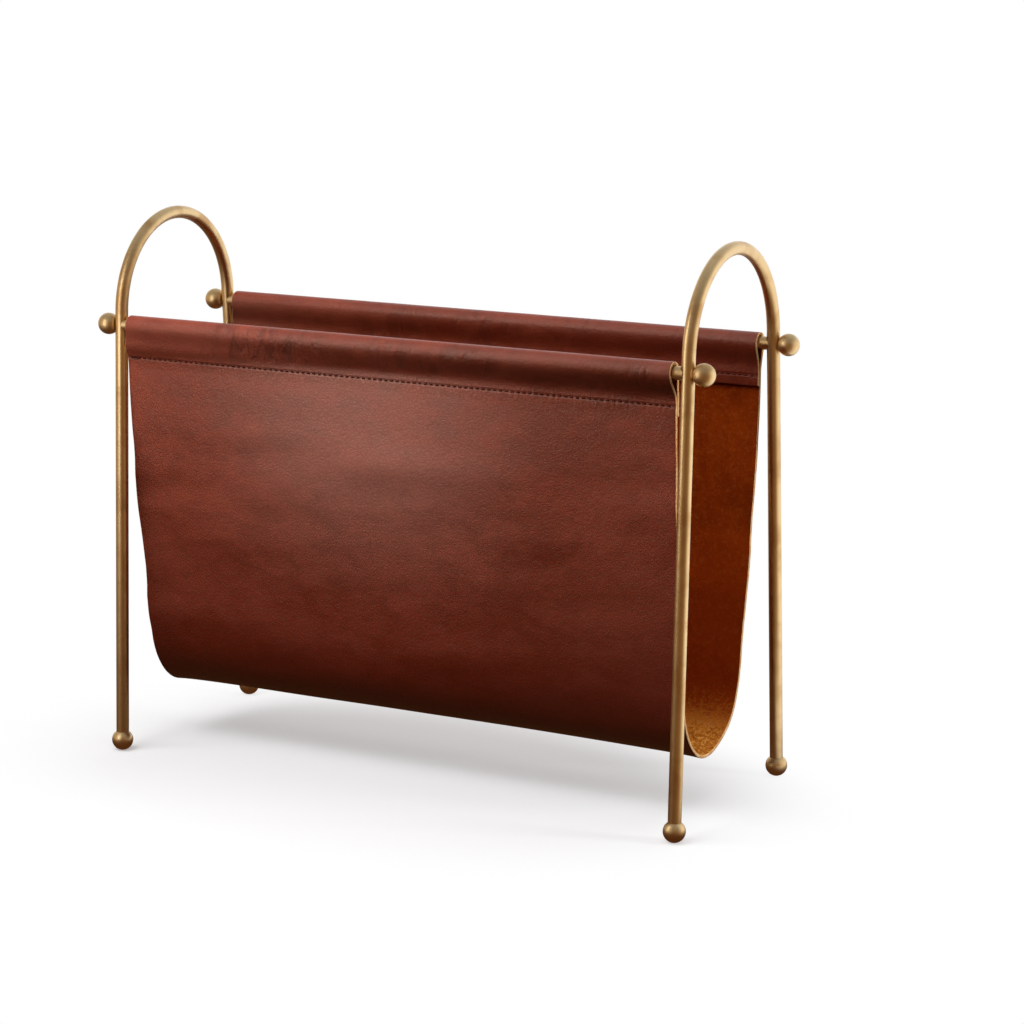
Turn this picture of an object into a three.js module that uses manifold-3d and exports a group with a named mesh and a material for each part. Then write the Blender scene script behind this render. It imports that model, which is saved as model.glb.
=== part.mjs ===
// Magazine basket: one leather sheet hangs between two arched brass hoops.
// Each long edge of the sheet is folded in and sewn into a sleeve, and a brass rod runs through it.
// Ball finials on threaded studs draw the hoops against the rods' ends, and ball feet end the four legs.
// Millimetres. X runs from hoop to hoop, Y from the front (minus) to the back (plus), and Z is up.
// The origin is on the floor, below the middle of the frame.

import * as THREE from "three";
import { mergeVertices, toCreasedNormals } from "three/addons/utils/BufferGeometryUtils.js";
import Module from "manifold-3d";

// Clearances
const seatGap = 0.3; // between two brass faces that are drawn together
const studClearance = 0.3; // round a stud, in its tapped and plain holes
const rodClearance = 0.3; // between a rod and the sleeve that hangs on it
const layerGap = 0.3; // between the two sewn layers of leather
const threadClearance = 0.3; // round a sewing thread in its groove
const cutOverrun = 2; // how far a cutter runs past what it cuts

// Brass frame
const barDiameter = 9.5;
const archRadius = 69.5; // of the arch's centre line
const legSplayDegrees = 2.95;
const rodHeight = 323.4;
const archRise = 6.3; // from the rods' axes up to the arch's centre
const ballDiameter = 16;
const finialSeatDiameter = 9;
const footBaseDiameter = 4; // the small flat that each foot stands on

// Studs
const studDiameter = 4;
const studChamfer = 0.4;
const finialStudInRod = 8;
const finialStudInBall = 8;
const footStudInLeg = 10;
const footStudInBall = 6;
const tapRunout = 1.5; // how much deeper a tapped hole is than its stud

// Leather sling
const leatherThickness = 2.4;
const slingLength = 448;
const leftEndGap = 1.25; // from the sling's left end to the left hoop
const rightEndGap = 5.25;
const slingFloorHeight = 40; // of its lowest outer face
const hangInset = 2; // the sewn layers hang this far inside the rod's axis
const sleeveSeamDrop = 23.4; // from the rod's axis to the stitch line
const sleeveJoinDrop = 19; // where the outer layer meets the turned-in one
const hemDrop = 31; // where the turned-in layer ends
const sleeveSlackDrop = 9; // how far down the sleeve's outer side stays full
const sleeveJoinEase = 5;
const hemWrapDrop = 10; // where the turned-in layer hangs straight
const hemWrapEase = 4.5;

// The sling's section between its two hems, front to back: across as a share of the half width,
// and up from the lowest point as a share of the height. It lies fuller towards the front.
const slingSectionShares = [
  [-0.989, 0.87],
  [-0.972, 0.753],
  [-0.938, 0.634],
  [-0.892, 0.523],
  [-0.852, 0.419],
  [-0.821, 0.322],
  [-0.79, 0.237],
  [-0.738, 0.17],
  [-0.674, 0.115],
  [-0.585, 0.069],
  [-0.473, 0.034],
  [-0.34, 0.01],
  [-0.18, 0],
  [0, 0.007],
  [0.131, 0.018],
  [0.251, 0.034],
  [0.357, 0.054],
  [0.441, 0.078],
  [0.512, 0.108],
  [0.568, 0.148],
  [0.659, 0.25],
  [0.763, 0.404],
  [0.872, 0.586],
  [0.959, 0.777],
  [0.99, 0.9],
];

// Sewing thread
const threadDiameter = 0.8;
const threadGrooveDepth = 0.7;
const threadEndInset = 1.5; // from the sling's cut end to the first stitch

// Smoothness
const barSides = 20;
const archSteps = 30;
const ballSides = 24;
const ballSteps = 12;
const studSides = 12;
const threadSides = 8;
const panelSteps = 84;
const wrapSteps = 14;
const bendSteps = 8;
const creaseAngle = THREE.MathUtils.degToRad(35);

// Sizes that follow
const legSplay = THREE.MathUtils.degToRad(legSplayDegrees);
const barRadius = barDiameter / 2;
const ballRadius = ballDiameter / 2;
const studRadius = studDiameter / 2;
const studHoleRadius = studRadius + studClearance;
const hoopSpacing = slingLength + leftEndGap + rightEndGap + barDiameter;
const slingShift = (leftEndGap - rightEndGap) / 2;
const archCentreHeight = rodHeight + archRise;
const springHalfWidth = archRadius * Math.cos(legSplay);
const springHeight = archCentreHeight + archRadius * Math.sin(legSplay);
const rodHalfSpacing = legHalfWidthAt(rodHeight);
const hoopX = hoopSpacing / 2;
const rodLength = hoopSpacing - barDiameter - 2 * seatGap;
const finialSeat = ballRadius * Math.cos(Math.asin(finialSeatDiameter / ballDiameter));
const finialX = hoopX + barRadius + seatGap + finialSeat;
const footSeat = ballRadius * Math.cos(Math.asin(barDiameter / ballDiameter));
const footBallHeight = ballRadius * Math.cos(Math.asin(footBaseDiameter / ballDiameter));
const footHalfWidth = legHalfWidthAt(footBallHeight);
const legEndHeight = footBallHeight + (footSeat + seatGap) * Math.cos(legSplay);
const layerStep = leatherThickness + layerGap;
const outerLayerY = rodHalfSpacing - hangInset + layerStep / 2;
const hemLayerY = outerLayerY - layerStep;
const sleeveRadius = barRadius + rodClearance + leatherThickness / 2;
const seamHeight = rodHeight - sleeveSeamDrop;
const threadRadius = threadDiameter / 2;
const threadStandOff = leatherThickness / 2 - threadGrooveDepth + threadClearance + threadRadius;

const sides = [
  { name: "left", x: -1 },
  { name: "right", x: 1 },
];
const edges = [
  { name: "front", y: -1 },
  { name: "back", y: 1 },
];

const wasm = await Module();
wasm.setup();

// Distance from the middle plane to a leg's axis at a height.
function legHalfWidthAt(height) {
  return springHalfWidth + (springHeight - height) * Math.tan(legSplay);
}

// Solids for cutting
function toSolid(geometry) {
  const bare = geometry.index ? geometry.toNonIndexed() : geometry.clone();
  bare.deleteAttribute("normal");
  bare.deleteAttribute("uv");
  const merged = mergeVertices(bare);
  return new wasm.Manifold(
    new wasm.Mesh({
      numProp: 3,
      vertProperties: merged.attributes.position.array,
      triVerts: new Uint32Array(merged.index.array),
    }),
  );
}

function cutAway(geometry, cutters) {
  let solid = toSolid(geometry);
  for (const cutter of cutters) {
    solid = solid.subtract(toSolid(cutter));
  }
  const { vertProperties, triVerts } = solid.getMesh();
  const cut = new THREE.BufferGeometry();
  cut.setAttribute("position", new THREE.BufferAttribute(vertProperties, 3));
  cut.setIndex(new THREE.BufferAttribute(triVerts, 1));
  return cut;
}

// Finishes
function antiqueBrass() {
  return new THREE.MeshStandardMaterial({ color: 0xb98f56, metalness: 1, roughness: 0.32 });
}

function cognacLeather() {
  return new THREE.MeshStandardMaterial({ color: 0x7c3f2f, metalness: 0, roughness: 0.5 });
}

function sewingThread() {
  return new THREE.MeshStandardMaterial({ color: 0x3b1812, metalness: 0, roughness: 0.75 });
}

const basket = new THREE.Group();

function add(name, geometry, material) {
  const mesh = new THREE.Mesh(toCreasedNormals(geometry, creaseAngle), material);
  mesh.name = name;
  basket.add(mesh);
  return mesh;
}

// A hoop's centre line: one step up each leg and equal steps round the arch.
class HoopLine extends THREE.Curve {
  getUtoTmapping(u) {
    return u;
  }

  getPoint(t, target = new THREE.Vector3()) {
    const step = t * (archSteps + 2);
    const archShare = (step - 1) / archSteps;
    if (archShare <= 0) {
      return this.legPoint(1, step, target);
    }
    if (archShare >= 1) {
      return this.legPoint(-1, archSteps + 2 - step, target);
    }
    const angle = legSplay + archShare * (Math.PI - 2 * legSplay);
    return target.set(
      0,
      archRadius * Math.cos(angle),
      archCentreHeight + archRadius * Math.sin(angle),
    );
  }

  legPoint(side, share, target) {
    const height = THREE.MathUtils.lerp(legEndHeight, springHeight, share);
    return target.set(0, side * legHalfWidthAt(height), height);
  }
}

// A cylinder along Z from z = 0 up.
function drill(radius, length) {
  return new THREE.CylinderGeometry(radius, radius, length, studSides)
    .rotateX(Math.PI / 2)
    .translate(0, 0, length / 2);
}

function hoopGeometry() {
  const section = new THREE.Shape().absarc(0, 0, barRadius, 0, 2 * Math.PI);
  const bar = new THREE.ExtrudeGeometry(section, {
    steps: archSteps + 2,
    curveSegments: barSides / 2,
    extrudePath: new HoopLine(),
  });
  const cutters = [];
  for (const { y } of edges) {
    const crossLength = barDiameter + 2 * cutOverrun;
    cutters.push(
      drill(studHoleRadius, crossLength)
        .rotateY(Math.PI / 2)
        .translate(-crossLength / 2, y * rodHalfSpacing, rodHeight),
    );
    cutters.push(
      drill(studHoleRadius, cutOverrun + footStudInLeg + tapRunout)
        .translate(0, 0, -cutOverrun)
        .rotateX(y * legSplay)
        .translate(0, y * legHalfWidthAt(legEndHeight), legEndHeight),
    );
  }
  return cutAway(bar, cutters);
}

// A rod, tapped at both ends. The lathe's axis is Y.
function rodGeometry() {
  const half = rodLength / 2;
  const tapEnd = half - finialStudInRod - tapRunout;
  const profile = [
    [0, -tapEnd],
    [studHoleRadius, -tapEnd],
    [studHoleRadius, -half],
    [barRadius, -half],
    [barRadius, half],
    [studHoleRadius, half],
    [studHoleRadius, tapEnd],
    [0, tapEnd],
  ];
  return new THREE.LatheGeometry(
    profile.map(([x, y]) => new THREE.Vector2(x, y)),
    barSides,
  );
}

// A ball about the origin with a flat seat towards -Y and a tapped hole up from the seat.
function ballGeometry(seatDiameter, tapDepth) {
  const seatAngle = Math.asin(seatDiameter / ballDiameter);
  const seat = ballRadius * Math.cos(seatAngle);
  const profile = [
    new THREE.Vector2(0, tapDepth - seat),
    new THREE.Vector2(studHoleRadius, tapDepth - seat),
    new THREE.Vector2(studHoleRadius, -seat),
  ];
  for (let i = 0; i < ballSteps; i += 1) {
    const angle = THREE.MathUtils.lerp(seatAngle, Math.PI, i / ballSteps);
    profile.push(new THREE.Vector2(ballRadius * Math.sin(angle), -ballRadius * Math.cos(angle)));
  }
  profile.push(new THREE.Vector2(0, ballRadius));
  return new THREE.LatheGeometry(profile, ballSides);
}

// A stud along +Y from y = 0, with both ends chamfered.
function studGeometry(length) {
  const profile = [
    [0, 0],
    [studRadius - studChamfer, 0],
    [studRadius, studChamfer],
    [studRadius, length - studChamfer],
    [studRadius - studChamfer, length],
    [0, length],
  ];
  return new THREE.LatheGeometry(
    profile.map(([x, y]) => new THREE.Vector2(x, y)),
    studSides,
  );
}

// Frame
function addHoops() {
  for (const side of sides) {
    add(`${side.name}_hoop`, hoopGeometry(), antiqueBrass()).position.x = side.x * hoopX;
  }
}

function addRods() {
  for (const edge of edges) {
    const rod = add(`${edge.name}_rod`, rodGeometry(), antiqueBrass());
    rod.position.set(0, edge.y * rodHalfSpacing, rodHeight);
    rod.rotation.z = -Math.PI / 2;
  }
}

// Finials: the ball's seat faces its hoop, and its stud passes through the leg into the rod.
function addFinials() {
  const studLength = finialStudInRod + barDiameter + 2 * seatGap + finialStudInBall;
  const studStart = rodLength / 2 - finialStudInRod;
  for (const side of sides) {
    for (const edge of edges) {
      const corner = `${edge.name}_${side.name}`;
      const ball = add(
        `${corner}_finial_ball`,
        ballGeometry(finialSeatDiameter, finialStudInBall + tapRunout),
        antiqueBrass(),
      );
      ball.position.set(side.x * finialX, edge.y * rodHalfSpacing, rodHeight);
      ball.rotation.z = -side.x * (Math.PI / 2);
      const stud = add(`${corner}_finial_stud`, studGeometry(studLength), antiqueBrass());
      stud.position.set(side.x * studStart, edge.y * rodHalfSpacing, rodHeight);
      stud.rotation.z = -side.x * (Math.PI / 2);
    }
  }
}

// A foot's +Y runs down its leg, and the ball is cut level where it stands on the floor.
function footTurn(edge) {
  return edge.y * legSplay - Math.PI / 2;
}

function footBallGeometry(edge) {
  const ball = ballGeometry(barDiameter, footStudInBall + tapRunout).rotateX(footTurn(edge));
  const floor = new THREE.BoxGeometry(2 * ballDiameter, 2 * ballDiameter, ballDiameter);
  floor.translate(0, 0, -footBallHeight - ballRadius);
  return cutAway(ball, [floor]);
}

function addFeet() {
  const studLength = footStudInLeg + seatGap + footStudInBall;
  const studStart = footSeat + seatGap + footStudInLeg;
  for (const side of sides) {
    for (const edge of edges) {
      const corner = `${edge.name}_${side.name}`;
      const ball = add(`${corner}_foot_ball`, footBallGeometry(edge), antiqueBrass());
      ball.position.set(side.x * hoopX, edge.y * footHalfWidth, footBallHeight);
      const stud = add(`${corner}_foot_stud`, studGeometry(studLength), antiqueBrass());
      stud.position.set(
        side.x * hoopX,
        edge.y * (footHalfWidth - studStart * Math.sin(legSplay)),
        footBallHeight + studStart * Math.cos(legSplay),
      );
      stud.rotation.x = footTurn(edge);
    }
  }
}

// The middle line of the back sleeve's leather: up outside the rod, over it and down to the hem's cut edge.
function sleeveLine() {
  const outerBend = new THREE.CubicBezierCurve(
    new THREE.Vector2(outerLayerY, rodHeight - sleeveJoinDrop),
    new THREE.Vector2(outerLayerY, rodHeight - sleeveJoinDrop + sleeveJoinEase),
    new THREE.Vector2(rodHalfSpacing + sleeveRadius, rodHeight - sleeveSlackDrop),
    new THREE.Vector2(rodHalfSpacing + sleeveRadius, rodHeight),
  );
  const wrap = new THREE.EllipseCurve(
    rodHalfSpacing,
    rodHeight,
    sleeveRadius,
    sleeveRadius,
    0,
    Math.PI,
  );
  const hemBend = new THREE.CubicBezierCurve(
    new THREE.Vector2(rodHalfSpacing - sleeveRadius, rodHeight),
    new THREE.Vector2(rodHalfSpacing - sleeveRadius, rodHeight - hemWrapEase),
    new THREE.Vector2(hemLayerY, rodHeight - hemWrapDrop + hemWrapEase),
    new THREE.Vector2(hemLayerY, rodHeight - hemWrapDrop),
  );
  return [
    ...outerBend.getPoints(bendSteps),
    ...wrap.getPoints(wrapSteps).slice(1),
    ...hemBend.getPoints(bendSteps).slice(1),
    new THREE.Vector2(hemLayerY, rodHeight - hemDrop),
  ];
}

// The middle line of the leather from the front hem, down round the pocket, to the back hem.
function slingLine() {
  const lowest = slingFloorHeight + leatherThickness / 2;
  const hemHeight = rodHeight - hemDrop;
  const panel = new THREE.SplineCurve([
    new THREE.Vector2(-outerLayerY, hemHeight),
    ...slingSectionShares.map(
      ([across, up]) =>
        new THREE.Vector2(across * outerLayerY, THREE.MathUtils.lerp(lowest, hemHeight, up)),
    ),
    new THREE.Vector2(outerLayerY, hemHeight),
  ]);
  const backSleeve = sleeveLine();
  const frontSleeve = backSleeve.map((point) => new THREE.Vector2(-point.x, point.y)).reverse();
  return [...frontSleeve, ...panel.getSpacedPoints(panelSteps), ...backSleeve];
}

// One side of the leather: each point of the middle line moved square to the line by half a thickness.
function offsetLine(line, distance) {
  return line.map((point, i) => {
    const before = line[Math.max(i - 1, 0)];
    const after = line[Math.min(i + 1, line.length - 1)];
    const along = after.clone().sub(before).normalize();
    return new THREE.Vector2(point.x + along.y * distance, point.y - along.x * distance);
  });
}

function slingGeometry() {
  const line = slingLine();
  const outline = [
    ...offsetLine(line, leatherThickness / 2),
    ...offsetLine(line, -leatherThickness / 2).reverse(),
  ];
  const sheet = new THREE.ExtrudeGeometry(new THREE.Shape(outline), {
    depth: slingLength,
    steps: 1,
    bevelEnabled: false,
  });
  sheet.applyMatrix4(sectionToX()).translate(-slingLength / 2, 0, 0);
  return cutAway(sheet, seams.map(grooveGeometry));
}

// Turns a section drawn in X and Y, and extruded along Z, to one in Y and Z that runs along X.
function sectionToX() {
  return new THREE.Matrix4().makeBasis(
    new THREE.Vector3(0, 1, 0),
    new THREE.Vector3(0, 0, 1),
    new THREE.Vector3(1, 0, 0),
  );
}

// Seams: the needle thread shows outside the sling, and the bobbin thread on the hem inside it.
const seams = edges.flatMap((edge) => [
  { name: `${edge.name}_needle_thread`, layerY: edge.y * outerLayerY, out: edge.y },
  { name: `${edge.name}_bobbin_thread`, layerY: edge.y * hemLayerY, out: -edge.y },
]);

function grooveGeometry(seam) {
  const width = threadDiameter + 2 * threadClearance;
  const thick = threadGrooveDepth + cutOverrun;
  const floorY = seam.layerY + seam.out * (leatherThickness / 2 - threadGrooveDepth);
  const groove = new THREE.BoxGeometry(slingLength + 2 * cutOverrun, thick, width);
  return groove.translate(0, floorY + (seam.out * thick) / 2, seamHeight);
}

function addSling() {
  add("leather_sling", slingGeometry(), cognacLeather()).position.x = slingShift;
}

function addThreads() {
  const length = slingLength - 2 * threadEndInset;
  for (const seam of seams) {
    const thread = add(
      seam.name,
      new THREE.CylinderGeometry(threadRadius, threadRadius, length, threadSides),
      sewingThread(),
    );
    thread.rotation.z = -Math.PI / 2;
    thread.position.set(slingShift, seam.layerY + seam.out * threadStandOff, seamHeight);
  }
}

addHoops();
addRods();
addFinials();
addFeet();
addSling();
addThreads();

export default basket;
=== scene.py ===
import math
import bmesh
import bpy
import numpy as np
from mathutils import Matrix, Vector


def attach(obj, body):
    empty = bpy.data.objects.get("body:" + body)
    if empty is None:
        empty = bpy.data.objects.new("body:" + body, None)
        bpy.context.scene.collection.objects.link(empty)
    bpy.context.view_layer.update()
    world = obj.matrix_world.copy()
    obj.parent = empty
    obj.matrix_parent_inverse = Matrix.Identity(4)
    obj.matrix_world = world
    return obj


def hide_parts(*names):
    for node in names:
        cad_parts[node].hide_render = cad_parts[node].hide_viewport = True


# Magazine basket: one leather sheet hangs on two brass rods between two arched hoops.
# Metres. X runs from hoop to hoop, -Y is the front, and the floor is at z = 0.

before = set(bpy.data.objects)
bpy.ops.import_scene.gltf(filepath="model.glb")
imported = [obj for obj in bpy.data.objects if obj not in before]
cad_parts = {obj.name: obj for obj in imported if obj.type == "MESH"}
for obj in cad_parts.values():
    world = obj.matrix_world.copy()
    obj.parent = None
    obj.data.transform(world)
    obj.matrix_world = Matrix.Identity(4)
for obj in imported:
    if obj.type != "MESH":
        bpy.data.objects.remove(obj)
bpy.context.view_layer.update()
print("frame loaded:", len(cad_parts), "nodes")


# Node helpers

def fill(tree, node, inputs):
    # an input takes a plain value or another node's output
    for key, value in inputs.items():
        if isinstance(value, bpy.types.NodeSocket):
            tree.links.new(value, node.inputs[key])
        else:
            node.inputs[key].default_value = value


def put(tree, kind, inputs=None, **settings):
    # adds a node with its settings and inputs
    node = tree.nodes.new(kind)
    for key, value in settings.items():
        setattr(node, key, value)
    fill(tree, node, inputs or {})
    return node


def after(kind, inputs, **settings):
    # adds a node to the tree of the outputs that it takes
    tree = next(value.id_data for value in inputs.values() if isinstance(value, bpy.types.NodeSocket))
    return put(tree, kind, inputs, **settings).outputs


def mathNode(operation, a, b=0.0, c=0.0):
    return after("ShaderNodeMath", {0: a, 1: b, 2: c}, operation=operation)[0]


def times(a, b):
    return mathNode("MULTIPLY", a, b)


def timesPlus(a, b, c):
    return mathNode("MULTIPLY_ADD", a, b, c)


def apart(a, b):
    return mathNode("ABSOLUTE", mathNode("SUBTRACT", a, b))


def vectorNode(operation, a, b=(0, 0, 0)):
    return after("ShaderNodeVectorMath", {0: a, 1: b}, operation=operation)


def remap(value, low, high, outLow=0.0, outHigh=1.0, smooth=True):
    inputs = {"Value": value, "From Min": low, "From Max": high, "To Min": outLow, "To Max": outHigh}
    kind = "SMOOTHSTEP" if smooth else "LINEAR"
    return after("ShaderNodeMapRange", inputs, interpolation_type=kind)["Result"]


def fade(value, band, share=1.0):
    # from share at the band's start to nothing at its end
    return remap(value, *band, share, 0.0)


def blendColor(factor, a, b):
    return after("ShaderNodeMix", {"Factor": factor, "A": a, "B": b}, data_type="RGBA")["Result"]


def tinted(color, mask, layer):
    # a layer is how much of a colour is laid on where the mask is full, and that colour
    share, tint = layer
    return blendColor(times(mask, share), color, tint)


def noiseAt(vector, scale, detail=4.0, distortion=0.0):
    inputs = {"Vector": vector, "Scale": scale, "Detail": detail, "Distortion": distortion}
    return after("ShaderNodeTexNoise", inputs)["Fac"]


def edgesAt(vector, scale):
    # distance from the nearest edge between cells
    inputs = {"Vector": vector, "Scale": scale}
    return after("ShaderNodeTexVoronoi", inputs, feature="DISTANCE_TO_EDGE")["Distance"]


def stretched(vector, scale, shift=(0, 0, 0)):
    return after("ShaderNodeMapping", {"Vector": vector, "Scale": scale, "Location": shift})["Vector"]


def splitXYZ(vector):
    return after("ShaderNodeSeparateXYZ", {"Vector": vector})


def surfaceLay(tree):
    # place on the surface itself, in metres, from the mesh's own map
    return put(tree, "ShaderNodeUVMap", uv_map="surfaceLay").outputs["UV"]


def texturePlace(tree, kind):
    return put(tree, "ShaderNodeTexCoord").outputs[kind]


def newGroup(name, inputs, outputs):
    tree = bpy.data.node_groups.new(name, "ShaderNodeTree")
    for way, sockets in (("INPUT", inputs), ("OUTPUT", outputs)):
        for label, kind in sockets.items():
            tree.interface.new_socket(label, in_out=way, socket_type="NodeSocket" + kind)
    return tree, tree.nodes.new("NodeGroupInput").outputs, tree.nodes.new("NodeGroupOutput")


def useGroup(group, inputs):
    return after("ShaderNodeGroup", inputs, node_tree=group)


def newMaterial(name):
    material = bpy.data.materials.new(name)
    material.use_nodes = True
    tree = material.node_tree
    return material, tree, tree.nodes["Principled BSDF"]


def bumped(tree, shader, height, strength, distance):
    bump = after("ShaderNodeBump", {"Height": height, "Strength": strength, "Distance": distance})
    fill(tree, shader, {"Normal": bump["Normal"]})


# Shared effects

def makePatina():
    # handled brass: cloudy ageing, small dark freckles and fine lines from polishing
    tree, given, result = newGroup(
        "brassPatina",
        {"Place": "Vector", "Polish Line": "Vector", "Cloud Scale": "Float", "Ageing": "Float",
         "Bright": "Color", "Aged": "Color", "Satin": "Float"},
        {"Color": "Color", "Roughness": "Float", "Height": "Float"},
    )
    clouds = noiseAt(given["Place"], given["Cloud Scale"], detail=4.0, distortion=0.4)
    freckles = noiseAt(given["Place"], 900.0, detail=2.0)
    lines = noiseAt(given["Polish Line"], 1.0, detail=2.0)
    worn = remap(clouds, 0.42, 0.72)
    dots = remap(freckles, 0.55, 0.8)
    amount = times(timesPlus(dots, 0.12, worn), given["Ageing"])
    color = blendColor(amount, given["Bright"], given["Aged"])
    rough = timesPlus(amount, 0.1, given["Satin"])
    rough = timesPlus(mathNode("SUBTRACT", lines, 0.5), 0.05, rough)
    fill(tree, result, {"Color": color, "Roughness": rough, "Height": timesPlus(dots, -0.5, lines)})
    return tree


def makeClouding():
    # dye that took unevenly: broad soft clouds with smaller ones inside them
    tree, given, result = newGroup(
        "dyeClouding",
        {"Place": "Vector", "Scale": "Float", "Contrast": "Float", "Deep": "Color", "Pale": "Color"},
        {"Color": "Color", "Mask": "Float"},
    )
    broad = noiseAt(given["Place"], given["Scale"], detail=2.0, distortion=0.3)
    fine = noiseAt(given["Place"], times(given["Scale"], 5.0), detail=5.0, distortion=0.8)
    both = timesPlus(fine, 0.45, times(broad, 0.55))
    spread = timesPlus(mathNode("SUBTRACT", both, 0.5), given["Contrast"], 0.5)
    mask = remap(spread, 0.25, 0.75)
    fill(tree, result, {"Color": blendColor(mask, given["Deep"], given["Pale"]), "Mask": mask})
    return tree


def makeHideGrain():
    # pebbles of full-grain hide in two sizes, with soft wrinkles that pull them out of line
    tree, given, result = newGroup(
        "hideGrain",
        {"Place": "Vector", "Pebble Scale": "Float", "Wrinkle Scale": "Float"},
        {"Height": "Float", "Valleys": "Float"},
    )
    pull = after("ShaderNodeTexNoise", {"Vector": given["Place"], "Scale": given["Wrinkle Scale"]})["Color"]
    inputs = {0: pull, 1: (0.004, 0.004, 0.004), 2: given["Place"]}
    bent = after("ShaderNodeVectorMath", inputs, operation="MULTIPLY_ADD")[0]
    small = remap(edgesAt(bent, given["Pebble Scale"]), 0.0, 0.25)
    large = remap(edgesAt(bent, times(given["Pebble Scale"], 0.4)), 0.0, 0.22)
    wrinkles = noiseAt(given["Place"], given["Wrinkle Scale"], detail=5.0, distortion=0.7)
    height = timesPlus(wrinkles, 1.6, timesPlus(small, 0.3, times(large, 0.4)))
    valleys = times(mathNode("SUBTRACT", 1.0, large), mathNode("SUBTRACT", 1.2, wrinkles))
    fill(tree, result, {"Height": height, "Valleys": valleys})
    return tree


def makeStudioRound():
    # what polished metal sees round the basket, by compass direction: white behind, a soft light at the left,
    # a dim brown room in front, and brighter again towards the right
    tree, given, result = newGroup("studioRound", {"Direction": "Vector"}, {"Color": "Color"})
    parts = splitXYZ(given["Direction"])
    compass = mathNode("ARCTAN2", parts["X"], times(parts["Y"], -1.0))
    turn = mathNode("DIVIDE", compass, 2 * math.pi)
    turned = mathNode("SUBTRACT", turn, studio["viewCompass"] / 360 - 0.5)
    ramp = put(tree, "ShaderNodeValToRGB", {"Fac": mathNode("FRACT", turned)})
    stops = ramp.color_ramp.elements
    stops.remove(stops[1])
    for degrees, color in studio["round"].items():
        stop = stops[0] if degrees == -180 else stops.new((degrees + 180) / 360)
        stop.color = (*color, 1)
    inputs = {0: ramp.outputs["Color"], "Scale": studio["roundStrength"]}
    fill(tree, result, {"Color": after("ShaderNodeVectorMath", inputs, operation="SCALE")[0]})
    return tree


patina = makePatina()
clouding = makeClouding()
hideGrain = makeHideGrain()


# Finishes

brassLook = {
    "metal": {"Bright": (0.76, 0.54, 0.285, 1), "Aged": (0.46, 0.235, 0.075, 1), "Cloud Scale": 42.0},
    "bump": (0.03, 0.00003),
}


def makeBrass(name, satin, ageing, polish):
    # polish: how strongly the fine lines run along the surface's own two directions
    material, tree, shader = newMaterial(name)
    metal = useGroup(patina, {
        "Place": texturePlace(tree, "Object"), "Polish Line": stretched(surfaceLay(tree), polish),
        "Ageing": ageing, "Satin": satin, **brassLook["metal"],
    })
    fill(tree, shader, {"Base Color": metal["Color"], "Roughness": metal["Roughness"], "Metallic": 1.0})
    bumped(tree, shader, metal["Height"], *brassLook["bump"])
    return material


# Widths and places are in metres. A band is where an effect starts and where it ends.
grainLook = {
    "grain": {"Pebble Scale": 920.0, "Wrinkle Scale": 110.0},
    "dye": {"Scale": 11.0, "Contrast": 1.5,
            "Deep": (0.175, 0.0175, 0.0045, 1), "Pale": (0.3, 0.04, 0.0135, 1)},
    "dyeStretch": (0.7, 1.3, 1.0),
    # from the row of stitches
    "pressedBand": (0.0004, 0.0017), "pressed": (0.25, (0.07, 0.006, 0.002, 1)), "pressedDepth": 1.6,
    # the needle holes' dark colour is painted shade
    "holeBand": (0.0006, 0.0011), "hole": (1.0, (0.04, 0.003, 0.0008, 1)), "holeDepth": 2.5,
    "puckerBand": (0.0005, 0.009), "puckerHeight": 4.0, "puckerStretch": (330.0, 70.0, 1.0),
    # from the middle of a stitch, as shares of the pitch
    "holeRise": (0.16, 0.2), "holeFall": (0.2, 0.27),
    # along the sheet from the line midway between its hems
    # painted shade towards the fold at the bottom, then a painted highlight over the upper middle of each
    # wall
    "paintedFoldShadeBand": (0.03, 0.23), "paintedFoldShade": (0.85, (0.14, 0.008, 0.0008, 1)),
    "paintedHazeBand": (0.1, 0.24), "paintedHaze": (0.36, (0.55, 0.25, 0.19, 1)),
    # along the sheet from the panel's seam, and then from a hem: painted shade on the sleeves, more over
    # their tops
    "sleeveBand": (0.002, 0.010), "sleeve": (1.0, (0.09, 0.0075, 0.002, 1)),
    "sleeveTopShadeBand": (0.057, 0.044), "sleeveTopShade": (0.34, (0.07, 0.012, 0.005, 1)),
    # along X: painted shade towards the right, and the painted highlight's patch either way from its middle
    "rightShadeBand": (-0.03, 0.2), "right": (0.3, (0.08, 0.01, 0.003, 1)),
    "hazePatchX": -0.025, "hazePatchBand": (0.01, 0.16),
    # painted shade on the front sleeve grows towards the right; the back sleeve's is even
    "sleeveShadeBand": (-0.22, 0.05), "sleeveShade": 0.24, "backSleeveShade": 0.3,
    "creasedBand": (-0.2, -0.13),
    # values of the noise that makes the creases, and of the one that gathers them in patches; the creases get
    # painted shade
    "creaseBand": (0.4, 0.7), "creaseStretch": (130.0, 55.0, 1.0), "creaseDepth": 2.5,
    "gatherBand": (0.38, 0.6), "gatherScale": 15.0, "creaseShade": (0.6, (0.06, 0.006, 0.0015, 1)),
    # painted shade in the grain's valleys
    "valleyShade": (0.3, (0.07, 0.009, 0.004, 1)), "valleyRoughness": 0.06,
    "roughness": (0.34, 0.44),
    "bump": (0.85, 0.00015),
    "sheen": {"Specular IOR Level": 0.9, "Specular Tint": (1.0, 0.84, 0.75, 1)},
}


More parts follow.
